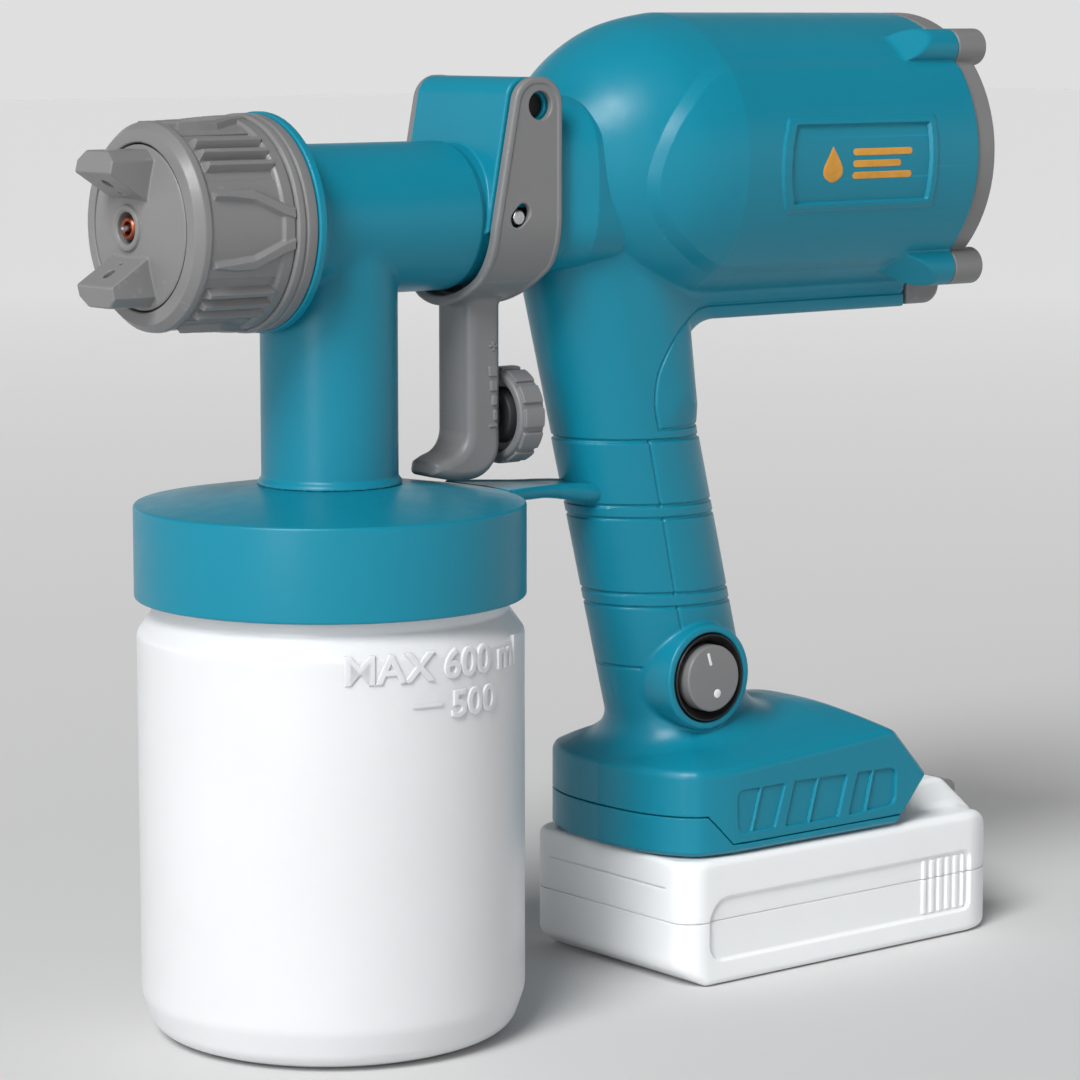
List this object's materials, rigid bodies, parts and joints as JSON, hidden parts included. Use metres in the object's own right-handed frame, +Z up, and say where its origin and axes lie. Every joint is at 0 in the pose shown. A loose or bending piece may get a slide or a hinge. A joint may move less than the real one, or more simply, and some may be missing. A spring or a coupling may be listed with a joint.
{
  "type": "cordless paint sprayer",
  "caption": "Cordless paint spray gun with a screw-on paint cup in front, barrel-shaped blower housing, pistol handle with rocker switch, trigger and slide-on battery.",
  "frame": {"origin": "centre of the paint cup's flat underside, on the surface the tool stands on", "axes": "+X towards the rear of the tool (it sprays towards -X), +Y to the side away from the switch, +Z up"},
  "size_m": [0.273, 0.096, 0.2495],
  "materials": {
    "teal_plastic": "moulded plastic, fine satin texture, petrol blue",
    "grey_plastic": "moulded plastic, satin mid grey",
    "dark_plastic": "glass filled nylon, matte dark grey",
    "black_plastic": "moulded plastic, semi gloss black",
    "cup_plastic": "translucent white polyethylene",
    "battery_plastic": "pale frosted plastic",
    "seal_rubber": "grey rubber",
    "ptfe": "natural white plastic",
    "filter_foam": "open cell foam",
    "circuit_board": "solder mask over glass fibre",
    "wire_red": "silicone insulation",
    "wire_black": "silicone insulation",
    "copper_nozzle": "machined, copper red",
    "steel": "machined stainless steel",
    "cell_wrap": "shrink sleeve"
  },
  "bodies": {
    "gun_body": {"housing_left": "teal_plastic", "housing_right": "teal_plastic", "base_frame": "teal_plastic", "spray_head": "teal_plastic", "lid_arm": "teal_plastic", "rear_cover": "grey_plastic", "nozzle_holder": "grey_plastic", "air_cap_seal": "seal_rubber", "paint_nozzle": "copper_nozzle", "fluid_tube": "ptfe", "needle_packing": "seal_rubber", "packing_nut": "steel", "spring_seat": "grey_plastic", "needle_spring": "steel", "trigger_pivot_pin": "steel", "lid": "teal_plastic", "lid_gasket": "seal_rubber", "lid_nut": "grey_plastic", "pickup_tube": "ptfe", "air_filter": "filter_foam", "blower_shroud": "dark_plastic", "motor_can": "steel", "motor_mount": "black_plastic", "circuit_board": "circuit_board", "wire_positive": "wire_red", "wire_negative": "wire_black", "terminal_block": "black_plastic", "switch_body": "black_plastic", "housing_screw_1": "steel", "housing_screw_2": "steel", "housing_screw_3": "steel", "housing_screw_4": "steel", "housing_screw_5": "steel", "cover_screw_1": "steel", "cover_screw_2": "steel", "cover_screw_3": "steel", "cover_screw_4": "steel"},
    "cup": {"cup": "cup_plastic"},
    "collar": {"collar_nut": "grey_plastic"},
    "air_cap": {"air_cap": "grey_plastic"},
    "needle": {"needle": "steel", "needle_carrier": "steel", "needle_cross_pin": "steel"},
    "trigger": {"trigger": "grey_plastic"},
    "knob": {"flow_knob": "grey_plastic", "flow_screw": "dark_plastic"},
    "rocker": {"switch_rocker": "grey_plastic"},
    "rotor": {"motor_shaft": "steel", "blower_wheel": "dark_plastic"},
    "battery": {"battery_tray": "battery_plastic", "battery_cover": "battery_plastic", "battery_cell_1": "cell_wrap", "battery_cell_2": "cell_wrap", "battery_cell_3": "cell_wrap", "battery_cell_4": "cell_wrap", "battery_cell_5": "cell_wrap"},
    "battery_button": {"battery_release_button": "grey_plastic"}
  },
  "joints": [
    {"name": "trigger_pull", "type": "hinge", "parent": "gun_body", "child": "trigger", "pos_m": [0.0493, 0, 0.2269], "axis": [0, -1, 0], "range_deg": [0, 7.5], "stiffness_Nm_per_rad": 1.5},
    {"name": "needle_slide", "type": "slide", "parent": "gun_body", "child": "needle", "axis": [1, 0, 0], "range_m": [0, 0.0042], "deforming": ["needle_spring"]},
    {"name": "flow_knob_turn", "type": "hinge", "parent": "trigger", "child": "knob", "pos_m": [0.0545, 0, 0.149], "axis": [1, 0, 0], "range_deg": [-360, 360]},
    {"name": "air_cap_turn", "type": "hinge", "parent": "gun_body", "child": "air_cap", "pos_m": [-0.05, 0, 0.1998], "axis": [1, 0, 0], "range_deg": [0, 90]},
    {"name": "collar_turn", "type": "hinge", "parent": "gun_body", "child": "collar", "pos_m": [-0.04, 0, 0.1998], "axis": [-1, 0, 0], "range_deg": [0, 360]},
    {"name": "cup_turn", "type": "hinge", "parent": "gun_body", "child": "cup", "pos_m": [0, 0, 0.06], "axis": [0, 0, -1], "range_deg": [0, 450]},
    {"name": "switch_rock", "type": "hinge", "parent": "gun_body", "child": "rocker", "pos_m": [0.1064, -0.0194, 0.0784], "axis": [0.9701, 0, 0.2425], "range_deg": [-8, 8]},
    {"name": "blower_spin", "type": "hinge", "parent": "gun_body", "child": "rotor", "pos_m": [0.15, 0, 0.2126], "axis": [1, 0, 0], "continuous": true},
    {"name": "battery_slide", "type": "slide", "parent": "gun_body", "child": "battery", "axis": [1, 0, 0], "range_m": [0, 0.085]},
    {"name": "battery_button_press", "type": "slide", "parent": "battery", "child": "battery_button", "axis": [-1, 0, 0], "range_m": [0, 0.003], "stiffness_N_per_m": 600}
  ],
  "couplings": [
    {"joint": "needle_slide", "follows": "trigger_pull", "m_per_rad": 0.0309}
  ]
}
